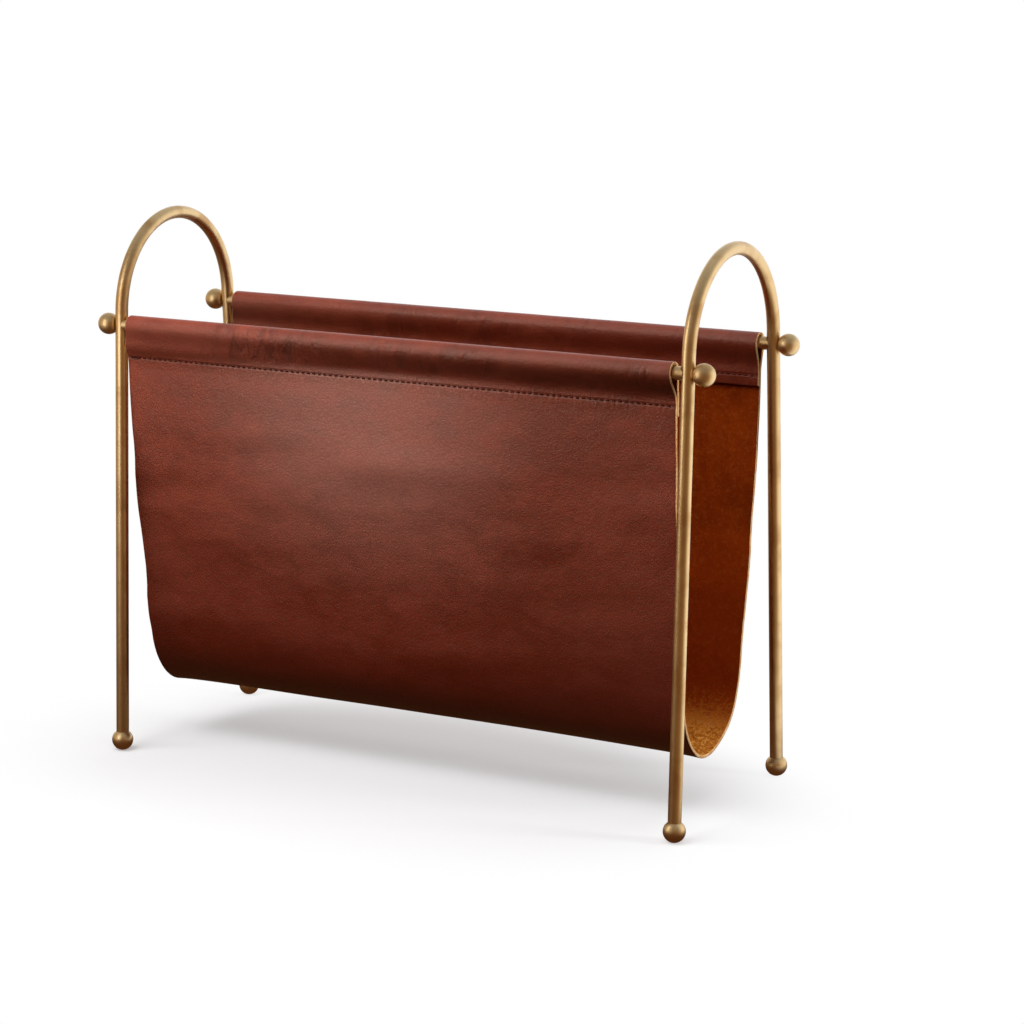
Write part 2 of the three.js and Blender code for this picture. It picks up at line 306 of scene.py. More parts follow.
def makeGrainSide(seams):
    # outside of the hide: cloudy dye, pebbled grain, holes where the needle went through, and painted light
    # and shade
    look = grainLook
    material, tree, shader = newMaterial("leatherGrainSide")
    lay = surfaceLay(tree)
    grain = useGroup(hideGrain, {"Place": lay, **look["grain"]})
    dye = useGroup(clouding, {"Place": stretched(lay, look["dyeStretch"]), **look["dye"]})
    # distance from the nearest row of stitches, and the place along it
    parts = splitXYZ(lay)
    fromMiddle = apart(parts["Y"], seams["middle"])
    sewnFrom = seams["middle"] - seams["panel"]
    toHem = apart(fromMiddle, seams["middle"] - seams["hem"])
    toSeam = mathNode("MINIMUM", toHem, apart(fromMiddle, sewnFrom))
    pressed = fade(toSeam, look["pressedBand"])
    stitchPlace = mathNode("DIVIDE", mathNode("SUBTRACT", parts["X"], seams["start"]), seams["pitch"])
    fromHole = apart(mathNode("FRACT", stitchPlace), 0.5)
    hole = times(remap(fromHole, *look["holeRise"]), fade(fromHole, look["holeFall"]))
    hole = times(hole, fade(toSeam, look["holeBand"]))
    # painted shade: redder and darker towards the fold at the bottom, and darker to the right
    color = tinted(dye["Color"], fade(fromMiddle, look["paintedFoldShadeBand"]), look["paintedFoldShade"])
    color = tinted(color, remap(parts["X"], *look["rightShadeBand"]), look["right"])
    # a painted highlight: a pale pinkish haze over the upper middle of each wall
    onSleeve = remap(fromMiddle, *(sewnFrom + beyond for beyond in look["sleeveBand"]))
    offSleeve = remap(onSleeve, 0.0, 1.0, 1.0, 0.0)
    fromHazePatch = apart(parts["X"], look["hazePatchX"])
    paintedHaze = times(fade(fromHazePatch, look["hazePatchBand"]), remap(fromMiddle, *look["paintedHazeBand"]))
    color = tinted(color, times(paintedHaze, offSleeve), look["paintedHaze"])
    # painted shade on the sleeves, most on the back one and least at the front one's left end
    atBack = mathNode("GREATER_THAN", parts["Y"], seams["middle"])
    sleeveShadeShare = remap(parts["X"], *look["sleeveShadeBand"], 0.0, look["sleeveShade"])
    sleeveShadeShare = mathNode("MAXIMUM", sleeveShadeShare, times(atBack, look["backSleeveShade"]))
    color = tinted(color, times(onSleeve, sleeveShadeShare), look["sleeve"])
    # creases run across the sleeves in patches, with painted shade in them
    creases = noiseAt(stretched(lay, look["creaseStretch"]), 1.0, detail=6.0, distortion=0.75)
    gathers = noiseAt(lay, look["gatherScale"], detail=2.0, distortion=0.5)
    creased = times(remap(creases, *look["creaseBand"]), remap(gathers, *look["gatherBand"]))
    allowed = times(onSleeve, remap(parts["X"], *look["creasedBand"]))
    creased = times(creased, allowed)
    # painted shade over the top of each sleeve, where it passes over the rod
    sleeveTopShade = remap(fromMiddle, *(seams["middle"] - fromHem for fromHem in look["sleeveTopShadeBand"]))
    # painted shade in the creases, over the sleeves' tops, in the grain's valleys and in the needle holes
    layers = {"creaseShade": creased, "sleeveTopShade": sleeveTopShade, "valleyShade": grain["Valleys"],
              "pressed": pressed, "hole": hole}
    for name, mask in layers.items():
        color = tinted(color, mask, look[name])
    rough = remap(dye["Mask"], 0.0, 1.0, *look["roughness"])
    rough = timesPlus(grain["Valleys"], look["valleyRoughness"], rough)
    fill(tree, shader, {"Base Color": color, "Roughness": rough, **look["sheen"]})
    height = timesPlus(pressed, -look["pressedDepth"], grain["Height"])
    # the thread's pull puckers the hide across the seam
    puckers = noiseAt(stretched(lay, look["puckerStretch"]), 1.0, detail=2.0, distortion=0.5)
    height = timesPlus(puckers, fade(toSeam, look["puckerBand"], look["puckerHeight"]), height)
    height = timesPlus(creased, -look["creaseDepth"], height)
    bumped(tree, shader, timesPlus(hole, -look["holeDepth"], height), *look["bump"])
    return material


fleshLook = {
    "dye": {"Scale": 24.0, "Contrast": 1.2,
            "Deep": (0.125, 0.0125, 0.0006, 1), "Pale": (0.2, 0.025, 0.0015, 1)},
    # along the sheet from the line midway between its hems; painted light, redder and then golden towards the
    # pocket's bottom
    "lowBand": (0.13, 0.19), "low": (0.38, (0.35, 0.037, 0.002, 1)),
    "bottomPaintedLightBand": (0.02, 0.056), "bottomPaintedLight": (1.0, (0.46, 0.145, 0.016, 1)), "ragged": 0.09,
    # values of the fibres' noise; what the bottom's painted light adds to a share or a height, and what shows
    # without it
    # painted light on the fibre tips, painted shade in the gaps between them
    "tipBand": (0.5, 0.66), "tipShares": (0.6, 0.03), "tip": (1.0, (0.88, 0.46, 0.11, 1)),
    "gapBand": (0.34, 0.47), "gapShares": (0.45, 0.12), "gap": (1.0, (0.1, 0.018, 0.003, 1)),
    "fibreHeights": (1.2, 0.2), "fibreScale": 340.0,
    "napScale": 2400.0, "napHeight": 0.25,
    "bump": (0.8, 0.0008),
    "sheen": {"Roughness": 0.92, "Specular IOR Level": 0.15, "Specular Tint": (1.0, 0.45, 0.15, 1)},
}


def makeFleshSide(sheetMiddle):
    # inside of the hide: matted fibres, deep rust up the walls, and painted light, redder lower down and
    # golden along the pocket's bottom
    look = fleshLook
    material, tree, shader = newMaterial("leatherFleshSide")
    lay = surfaceLay(tree)
    dye = useGroup(clouding, {"Place": lay, **look["dye"]})
    up = apart(splitXYZ(lay)["Y"], sheetMiddle)
    fibres = noiseAt(lay, look["fibreScale"], detail=5.0, distortion=1.2)
    ragged = timesPlus(mathNode("SUBTRACT", fibres, 0.5), look["ragged"], up)
    # painted light along the pocket's bottom, with a ragged edge
    bottomPaintedLight = fade(ragged, look["bottomPaintedLightBand"])
    color = tinted(dye["Color"], fade(up, look["lowBand"]), look["low"])
    color = tinted(color, bottomPaintedLight, look["bottomPaintedLight"])
    # painted light on the fibre tips and painted shade in the gaps between them, both strongest along the
    # pocket's bottom
    tips = times(remap(fibres, *look["tipBand"]), timesPlus(bottomPaintedLight, *look["tipShares"]))
    color = tinted(color, tips, look["tip"])
    gaps = times(fade(fibres, look["gapBand"]), timesPlus(bottomPaintedLight, *look["gapShares"]))
    color = tinted(color, gaps, look["gap"])
    fill(tree, shader, {"Base Color": color, **look["sheen"]})
    nap = noiseAt(lay, look["napScale"], detail=2.0)
    raised = times(fibres, timesPlus(bottomPaintedLight, *look["fibreHeights"]))
    bumped(tree, shader, timesPlus(nap, look["napHeight"], raised), *look["bump"])
    return material


def makeCutEdge():
    # raw cut: undyed tan fibre with a few darker threads across the thickness
    material, tree, shader = newMaterial("leatherCutEdge")
    place = texturePlace(tree, "Object")
    dye = useGroup(clouding, {
        "Place": place, "Scale": 120.0, "Contrast": 1.8,
        "Deep": (0.72, 0.36, 0.13, 1), "Pale": (0.95, 0.64, 0.32, 1),
    })
    fibres = noiseAt(place, 1600.0, detail=3.0, distortion=1.0)
    darker = remap(fibres, 0.56, 0.75, 0.0, 0.5)
    color = blendColor(darker, dye["Color"], (0.36, 0.13, 0.04, 1))
    fill(tree, shader, {"Base Color": color, "Roughness": 0.75, "Specular IOR Level": 0.3})
    bumped(tree, shader, fibres, strength=0.5, distance=0.0002)
    return material


def makeThread():
    # waxed thread: plies twisted round each other, with painted shade where they meet
    material, tree, shader = newMaterial("sewingThreadTwist")
    lay = surfaceLay(tree)
    parts = splitXYZ(lay)
    turn = timesPlus(parts["Y"], 5200.0, times(parts["X"], 7500.0))
    plies = timesPlus(mathNode("SINE", turn), 0.5, 0.5)
    dye = useGroup(clouding, {
        "Place": lay, "Scale": 60.0, "Contrast": 1.0,
        "Deep": (0.045, 0.006, 0.002, 1), "Pale": (0.078, 0.012, 0.005, 1),
    })
    # painted shade where the plies meet
    color = blendColor(times(plies, 0.4), dye["Color"], (0.09, 0.018, 0.009, 1))
    fill(tree, shader, {"Base Color": color, "Roughness": 0.7, "Specular IOR Level": 0.1})
    bumped(tree, shader, plies, strength=0.6, distance=0.00012)
    return material


# Surfaces

sharpAngle = 40  # degrees between two faces, from which their edge is drawn sharp


def gridFaces(rows, columns):
    # quads of a grid that closes on itself across, row by row, with each corner's column and row
    index = np.arange(rows * columns).reshape(rows, columns)
    lower, upper = index[:-1], index[1:]
    quads = np.stack([lower, np.roll(lower, -1, 1), np.roll(upper, -1, 1), upper], -1)
    column, row = np.meshgrid(np.arange(columns), np.arange(rows - 1))
    corners = np.stack([column, row], -1)[..., None, :] + np.array([(0, 0), (1, 0), (1, 1), (0, 1)])
    return quads.reshape(-1, 4), corners.reshape(-1, 2)


def addObject(name, data):
    added = bpy.data.objects.new(name, data)
    bpy.context.scene.collection.objects.link(added)
    return added


def makePiece(name, points, faces, lay, finishes, finishOfFace=None, sharpFrom=sharpAngle):
    mesh = bpy.data.meshes.new(name)
    mesh.from_pydata(points, [], faces)
    mesh.uv_layers.new(name="surfaceLay").uv.foreach_set("vector", np.asarray(lay, np.float32).ravel())
    for finish in finishes:
        mesh.materials.append(finish)
    if finishOfFace is not None:
        mesh.polygons.foreach_set("material_index", np.asarray(finishOfFace, np.int32))
    work = bmesh.new()
    work.from_mesh(mesh)
    bmesh.ops.remove_doubles(work, verts=work.verts, dist=1e-7)
    bmesh.ops.recalc_face_normals(work, faces=work.faces)
    work.to_mesh(mesh)
    work.free()
    mesh.shade_smooth()
    mesh.set_sharp_from_angle(angle=math.radians(sharpFrom))
    return addObject(name, mesh)


def unitRows(rows):
    return rows / np.linalg.norm(rows, axis=1, keepdims=True)


def runLength(points):
    # how far along the line through the points each one lies
    return np.concatenate([[0], np.cumsum(np.linalg.norm(np.diff(points, axis=0), axis=1))])


def circle(across, other, sides):
    # cos a * across + sin a * other, for each angle a of a ring
    angle = (np.arange(sides) * 2 * np.pi / sides)[:, None]
    return np.cos(angle) * across[..., None, :] + np.sin(angle) * other[..., None, :]


def ringSkin(points, path, sides, radius):
    # faces between the rings, with the lay measured round the widest ring and along the path
    faces, corners = gridFaces(len(path), sides)
    width = 2 * np.pi * radius / sides
    return points.reshape(-1, 3), faces, np.stack([corners[:, 0] * width, runLength(path)[corners[:, 1]]], -1)


def sweptBar(path, radius, sides, across):
    # a circle carried along a path: point = path + radius * (cos a * across + sin a * (across x direction));
    # the ends are drawn in to their middles, so the bar is closed
    direction = unitRows(np.gradient(path, axis=0))
    across = np.broadcast_to(across, path.shape)
    across = unitRows(across - direction * np.sum(across * direction, axis=1, keepdims=True))
    other = np.cross(across, direction)
    reach = np.concatenate([[0], np.broadcast_to(radius, len(path)), [0]])
    path, across, other = (np.concatenate([rows[:1], rows, rows[-1:]]) for rows in (path, across, other))
    points = path[:, None] + reach[:, None, None] * circle(across, other, sides)
    return ringSkin(points, path, sides, float(np.max(radius)))


def turnedShape(profile, sides, start, axis):
    # a profile of (radius, distance along) turned about an axis through start
    profile = np.asarray(profile, float)
    axis = np.asarray(axis, float) / np.linalg.norm(axis)
    across = np.cross(axis, (0, 0, 1) if abs(axis[2]) < 0.9 else (0, 1, 0))
    across /= np.linalg.norm(across)
    ring = circle(across, np.cross(axis, across), sides)
    points = np.asarray(start) + profile[:, None, 1:] * axis + profile[:, None, :1] * ring[None]
    return ringSkin(points, profile, sides, profile[:, 0].max())


def drilled(piece, holes, sides=24):
    # holes: (start, axis, radius, length); the cut is applied and the drills are removed
    drills = []
    for start, axis, radius, length in holes:
        profile = [(0, 0), (radius, 0), (radius, length), (0, length)]
        drill = makePiece("drill", *turnedShape(profile, sides, start, axis), [])
        cut = piece.modifiers.new("hole", "BOOLEAN")
        cut.operation, cut.solver, cut.object = "DIFFERENCE", "EXACT", drill
        drills.append(drill)
    bpy.context.view_layer.update()
    depsgraph = bpy.context.evaluated_depsgraph_get()
    cutMesh = bpy.data.meshes.new_from_object(piece.evaluated_get(depsgraph))
    piece.modifiers.clear()
    piece.data = cutMesh
    cutMesh.set_sharp_from_angle(angle=math.radians(sharpAngle))
    for drill in drills:
        bpy.data.objects.remove(drill)


def smoothStep(value, low, high):
    share = np.clip((value - low) / (high - low), 0, 1)
    return share * share * (3 - 2 * share)


def softWaves(x, s, waveX, waveS, seed, count=14):
    # a sum of sine waves with mixed directions and phases, about -1 to 1
    random = np.random.default_rng(seed)
    total = 0
    for _ in range(count):
        turn, phase = random.uniform(0, 2 * np.pi, 2)
        speed = random.uniform(0.6, 1.5)
        along = x * np.cos(turn) / waveX + s * np.sin(turn) / waveS
        total = total + np.sin(2 * np.pi * speed * along + phase)
    return total / math.sqrt(count) / 1.6


# Brass frame

brassBar = makeBrass("brassBar", satin=0.36, ageing=0.62, polish=(4200, 60, 1))
brassBall = makeBrass("brassBall", satin=0.4, ageing=0.5, polish=(60, 4200, 1))
brassScrew = makeBrass("brassScrew", satin=0.3, ageing=0.3, polish=(60, 9000, 1))

hoop = {
    "barRadius": 0.00475,
    "planeX": 0.232,
    "archRadius": 0.0695,
    "archCentre": 0.3297,
    "splay": math.radians(2.95),
    "legEnd": 0.01420,  # down on the foot ball's seat
    "boreRadius": 0.0023,
    "drillReach": 0.01,  # either way from the bar's middle
    "legDrillBelow": 0.002,
    "legDrillLength": 0.0138,
    "legSteps": 40,
    "archSteps": 96,
    "sides": 48,
}
finial = {"rodHeight": 0.3234, "halfSpacing": 0.069917, "ballX": 0.243664, "ballRadius": 0.008,
          "seatRadius": 0.0045, "tapDepth": 0.0095, "sides": 64}
foot = {"height": 0.007746, "halfWidth": 0.086184, "seatRadius": 0.00475, "tapDepth": 0.0075}
rod = {"halfLength": 0.22695, "tapDepth": 0.0095, "endBevel": 0.0003, "ringsTo": 0.22, "rings": 45,
       "copedTo": 0.94}  # of the radius, either way from the rod's middle
corners = [(edge, side) for edge in ("front", "back") for side in ("left", "right")]
signOf = {"front": -1, "back": 1, "left": -1, "right": 1}
leanSin, leanCos = math.sin(hoop["splay"]), math.cos(hoop["splay"])
springY, springZ = hoop["archRadius"] * leanCos, hoop["archCentre"] + hoop["archRadius"] * leanSin


def legHalfWidth(height):
    return springY + (springZ - height) * math.tan(hoop["splay"])


def hoopPath(x):
    # up the back leg in a straight line, round the arch on a circle, and down the front leg
    legZ = np.linspace(hoop["legEnd"], springZ, hoop["legSteps"])[:-1]
    legY = legHalfWidth(legZ)
    angle = np.linspace(hoop["splay"], math.pi - hoop["splay"], hoop["archSteps"])
    y = np.concatenate([legY, hoop["archRadius"] * np.cos(angle), -legY[::-1]])
    z = np.concatenate([legZ, hoop["archCentre"] + hoop["archRadius"] * np.sin(angle), legZ[::-1]])
    return np.stack([np.full_like(y, x), y, z], -1)


def ballProfile(seatRadius, tapDepth, rings=30):
    # seat, bored hole and the rest of a ball's half circle, from the bottom of the hole out and round
    radius, bore = finial["ballRadius"], hoop["boreRadius"]
    seatAngle = math.asin(seatRadius / radius)
    seat = -radius * math.cos(seatAngle)
    angle = np.linspace(seatAngle, math.pi, rings)
    curve = np.stack([radius * np.sin(angle), -radius * np.cos(angle)], -1)
    curve[-1, 0] = 0
    return np.concatenate([[(0, seat + tapDepth), (bore, seat + tapDepth), (bore, seat)], curve])


for side in ("left", "right"):
    x = signOf[side] * hoop["planeX"]
    bar = sweptBar(hoopPath(x), hoop["barRadius"], hoop["sides"], (1, 0, 0))
    piece = makePiece(f"hoop_{side}", *bar, [brassBar])
    holes = []
    for edge in ("front", "back"):
        y = signOf[edge]
        start = (x - hoop["drillReach"], y * finial["halfSpacing"], finial["rodHeight"])
        holes.append((start, (1, 0, 0), hoop["boreRadius"], 2 * hoop["drillReach"]))
        tilt = Vector((0, -y * leanSin, leanCos))
        end = Vector((x, y * legHalfWidth(hoop["legEnd"]), hoop["legEnd"]))
        holes.append((end - hoop["legDrillBelow"] * tilt, tilt, hoop["boreRadius"], hoop["legDrillLength"]))
    drilled(piece, holes)
    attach(piece, "frame")
    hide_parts(f"{side}_hoop")

for edge in ("front", "back"):
    half, bevel, radius, bore = rod["halfLength"], rod["endBevel"], hoop["barRadius"], hoop["boreRadius"]
    tapEnd = half - rod["tapDepth"]
    middle = [(radius, z) for z in np.linspace(-rod["ringsTo"], rod["ringsTo"], rod["rings"])]
    profile = [(0, -tapEnd), (bore, -tapEnd), (bore, -half), (radius - bevel, -half), (radius, -half + bevel),
               *middle,
               (radius, half - bevel), (radius - bevel, half), (bore, half), (bore, tapEnd), (0, tapEnd)]
    start = (0, signOf[edge] * finial["halfSpacing"], finial["rodHeight"])
    points, faces, lay = turnedShape(profile, hoop["sides"], start, (1, 0, 0))
    # the ends are coped to follow the leg's round: radius - root(radius^2 - offset^2) beyond the flat
    aside = np.clip(points[:, 1] - start[1], -rod["copedTo"] * radius, rod["copedTo"] * radius)
    cope = (radius - np.sqrt(radius * radius - aside * aside)) * (np.abs(points[:, 0]) > half - 2 * bevel)
    points[:, 0] += np.sign(points[:, 0]) * cope
    piece = makePiece(f"rod_{edge}", points, faces, lay, [brassBar])
    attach(piece, "frame")
    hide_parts(f"{edge}_rod")

for edge, side in corners:
    corner = f"{edge}_{side}"
    start = (signOf[side] * finial["ballX"], signOf[edge] * finial["halfSpacing"], finial["rodHeight"])
    profile = ballProfile(finial["seatRadius"], finial["tapDepth"])
    ball = turnedShape(profile, finial["sides"], start, (signOf[side], 0, 0))
    piece = makePiece(f"finial_{corner}", *ball, [brassBall])
    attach(piece, f"{corner}_ball")
    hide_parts(f"{corner}_finial_ball")

    start = (signOf[side] * hoop["planeX"], signOf[edge] * foot["halfWidth"], foot["height"])
    down = (0, signOf[edge] * leanSin, -leanCos)
    profile = ballProfile(foot["seatRadius"], foot["tapDepth"])
    points, faces, lay = turnedShape(profile, finial["sides"], start, down)
    points[:, 2] = np.maximum(points[:, 2], 0)  # the small flat it stands on
    piece = makePiece(f"foot_{corner}", points, faces, lay, [brassBall])
    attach(piece, "frame")
    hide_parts(f"{corner}_foot_ball")

for name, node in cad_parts.items():
    if name.endswith("_stud"):
        for slot in node.material_slots:
            slot.material = brassScrew
print("brass frame made")


# Leather sheet

leather = {
    "leftEnd": -0.226,
    "length": 0.448,
    "thickness": 0.0024,
    "outerLayerY": 0.069267,
    "hemLayerY": 0.066567,
    "sleeveRadius": 0.00625,  # from the rod's axis to the middle of the leather
    "joinDrop": 0.0225,
    "joinEase": 0.0085,
    "slackDrop": 0.006,
    "hemWrapDrop": 0.017,
    "hemWrapEase": 0.007,
    "hemDrop": 0.031,
    "seamDrop": 0.0234,
    "lowest": 0.0408,
    "easedFrom": 0.075,  # along the sheet from a hem
    "easedOver": 0.03,
    "frontTipOut": (0.001, -0.0005, -0.003),  # at the left end, the middle and the right end
    "backTipOut": (0.0015, 0.001, 0.0015),
    "bottomLift": 0.0008,  # of the middle against the two ends
    "endLip": 0.0012,
    "panelWaves": 0.0006,
    "sleeveWaves": 0.00035,
    "edgeWander": 0.0002,
    # lengths of the waves along X and along the sheet, and the seed of their draws
    "longWaves": (0.36, 0.10, 3),
    "shortWaves": (0.15, 0.034, 8),
    "shortWaveShare": 0.6,
    "slackWaves": (0.05, 0.05, 21),
    "edgeWaves": (1, 0.045, 5),
    # where an effect sets in or ends along the sheet, from the panel's seam and then from a hem
    "panelBand": (0.008, 0.07),
    "slackIn": (0.040, 0.047),
    "slackOut": (0.056, 0.062),
    "pulledAt": 0.067,
    "pulledWidth": 0.007,
    # and by height
    "lowBand": (0.045, 0.2),
    "tipIn": (0.10, 0.285),
    "tipOut": (0.304, 0.321),
    "wanderOut": (0.26, 0.29),
    # how far in from an end an effect dies away
    "lipReach": 0.012,
    "wanderReach": 0.02,
    "cutReach": 0.03,
    # how far the hand-cut ends stand in from straight, by height
    "leftCut": [(0.053, -0.0006), (0.065, -0.0007), (0.077, -0.0005), (0.089, 0.0003), (0.1034, -0.0001),
                (0.115, -0.0005), (0.127, 0.0009), (0.1386, 0.0016), (0.15, 0.0011), (0.165, 0.0003),
                (0.198, -0.0006), (0.21, -0.0003), (0.223, 0.0008), (0.235, 0.0012), (0.25, 0.0005),
                (0.265, 0), (0.308, 0), (0.32, 0.0022), (0.34, 0.0024)],
    "backRightCut": [(0.09, 0.0003), (0.111, 0.0011), (0.122, 0.0013), (0.133, 0.0011), (0.1445, 0.0007),
                     (0.156, 0.0004), (0.173, 0.0006), (0.185, 0.0014), (0.196, 0.0016), (0.207, 0.0013),
                     (0.218, 0.0009), (0.25, 0.0006), (0.28, 0.0002), (0.30, 0)],
    "pulledStraight": (0.0022, 0.0),  # of each sleeve below its rod, at the left end and further on
    "pulledUntil": 0.55,  # of the length
    "seamSearch": {"hem": (0, 0.03), "panel": (0.05, 0.12)},  # along the sheet from the front hem
    "smoothSteps": 90,
    "smoothReach": 0.006,
    "bendSteps": 30,
    "turnSteps": 50,
    "sectionSteps": 24,
    "columns": 90,
    "columnMargin": 0.003,
    "rowMargin": 0.0015,
    "coarseStep": 0.0034,
    "fineStep": 0.0009,
    "bendPerStep": 0.14,
    # a cut's eased arris: inset from the cut, share of the thickness
    "cutRound": [(0, 0.6), (0.0001, 0.84), (0.00035, 0.97), (0.00075, 1.0)],
    # between the hems, front to back: across as a share of the half width, up as a share of the height
    "section": [
        (-1, 1), (-0.989, 0.87), (-0.972, 0.753), (-0.938, 0.634), (-0.892, 0.523), (-0.852, 0.419),
        (-0.821, 0.322), (-0.79, 0.237), (-0.738, 0.17), (-0.674, 0.115), (-0.585, 0.069), (-0.473, 0.034),
        (-0.34, 0.01), (-0.18, 0), (0, 0.007), (0.131, 0.018), (0.251, 0.034), (0.357, 0.054), (0.441, 0.078),
        (0.512, 0.108), (0.568, 0.148), (0.659, 0.25), (0.763, 0.404), (0.872, 0.586), (0.959, 0.777),
        (0.99, 0.9), (1, 1),
    ],
}
stitch = {
    "pitch": 0.0046,
    "start": -0.2225,
    "end": 0.2208,
    "radius": 0.0005,
    "sides": 8,
    "slant": 0.0003,
    # the first stitches are sewn twice
    "backTack": 0.0078,
    "tackHeight": 0.0001,
    "tackThickness": 1.25,
    # one stitch: shares of the pitch, and how high the thread's middle stands off the leather there
    "places": (0, 0.24, 0.29, 0.34, 0.5, 0.66, 0.71, 0.76),
    "heights": (-0.0009, -0.0007, -0.0002, 0.00012, 0.00022, 0.00012, -0.0002, -0.0007),
}


def bezier(a, b, c, d, count):
    t = np.linspace(0, 1, count)[:, None]
    a, b, c, d = (np.array(p) for p in (a, b, c, d))
    return (1 - t) ** 3 * a + 3 * (1 - t) ** 2 * t * b + 3 * (1 - t) * t * t * c + t ** 3 * d


def throughPoints(points, count):
    # each stretch between two points is a cubic that leaves and meets them along their neighbours' line
    points = np.array(points)
    padded = np.concatenate([2 * points[:1] - points[1:2], points, 2 * points[-1:] - points[-2:-1]])
    p0, p1, p2, p3 = (padded[i:len(padded) - 3 + i, None] for i in range(4))
    t = np.linspace(0, 1, count, endpoint=False)[None, :, None]
    curve = 0.5 * (2 * p1 + (p2 - p0) * t + (2 * p0 - 5 * p1 + 4 * p2 - p3) * t ** 2
                   + (3 * p1 - p0 - 3 * p2 + p3) * t ** 3)
    return np.concatenate([curve.reshape(-1, 2), points[-1:]])


def sleeveLine():
    # back sleeve: up outside the rod on a slack bend, a half circle over it, and down to the hem's cut edge
    half, height, radius = finial["halfSpacing"], finial["rodHeight"], leather["sleeveRadius"]
    outerY, hemY, steps = leather["outerLayerY"], leather["hemLayerY"], leather["bendSteps"]
    join = height - leather["joinDrop"]
    outer = bezier((outerY, join), (outerY, join + leather["joinEase"]),
                   (half + radius, height - leather["slackDrop"]), (half + radius, height), steps)
    turn = np.linspace(0, math.pi, leather["turnSteps"])
    over = np.stack([half + radius * np.cos(turn), height + radius * np.sin(turn)], -1)
    hang = height - leather["hemWrapDrop"]
    inner = bezier((half - radius, height), (half - radius, height - leather["hemWrapEase"]),
                   (hemY, hang + leather["hemWrapEase"]), (hemY, hang), steps)
    end = np.array([(hemY, height - leather["hemDrop"])])
    return np.concatenate([outer, over[1:], inner[1:], end])


def sheetSection(count=3600):
    # the middle line of the leather from the front hem to the back hem, evenly spaced, with its length
    hemHeight = finial["rodHeight"] - leather["hemDrop"]
    shares = throughPoints(leather["section"], leather["sectionSteps"])
    panel = np.stack([shares[:, 0] * leather["outerLayerY"],
                      leather["lowest"] + shares[:, 1] * (hemHeight - leather["lowest"])], -1)
    back = sleeveLine()
    front = back[::-1] * (-1, 1)
    line = np.concatenate([front, panel, back])
    gap = np.linalg.norm(np.diff(line, axis=0), axis=1)
    line = line[np.concatenate([[True], gap > 1e-9])]
    length = runLength(line)
    s = np.linspace(0, length[-1], count)
    even = np.stack([np.interp(s, length, values) for values in line.T], -1)
    # the panel is eased, the sleeves keep their form
    steps = leather["smoothSteps"]
    weight = np.exp(-0.5 * (np.arange(-steps, steps + 1) * (s[1] - s[0]) / leather["smoothReach"]) ** 2)
    weight /= weight.sum()
    wide = np.concatenate([np.repeat(even[:1], steps, 0), even, np.repeat(even[-1:], steps, 0)])
    eased = np.stack([np.convolve(wide[:, i], weight, "valid") for i in (0, 1)], -1)
    easedFull = leather["easedFrom"] + leather["easedOver"]
    share = smoothStep(np.minimum(s, s[-1] - s), leather["easedFrom"], easedFull)[:, None]
    return s, even * (1 - share) + eased * share


sectionS, section = sheetSection()
sheetLength = sectionS[-1]
tangent = unitRows(np.gradient(section, axis=0))
outward = np.stack([tangent[:, 1], -tangent[:, 0]], -1)


def seamPlace(layer):
    # how far along the sheet the front seam is, on the hem layer or on the panel
    height = finial["rodHeight"] - leather["seamDrop"]
    low, high = leather["seamSearch"][layer]
    near = (sectionS > low) & (sectionS < high)
    return float(sectionS[near][np.argmin(np.abs(section[near, 1] - height))])


seams = {"hem": seamPlace("hem"), "panel": seamPlace("panel"), "middle": sheetLength / 2,
         "start": stitch["start"], "pitch": stitch["pitch"]}


def dyingAway(distance, reach):
    return np.exp(-np.maximum(distance, 0) / reach)


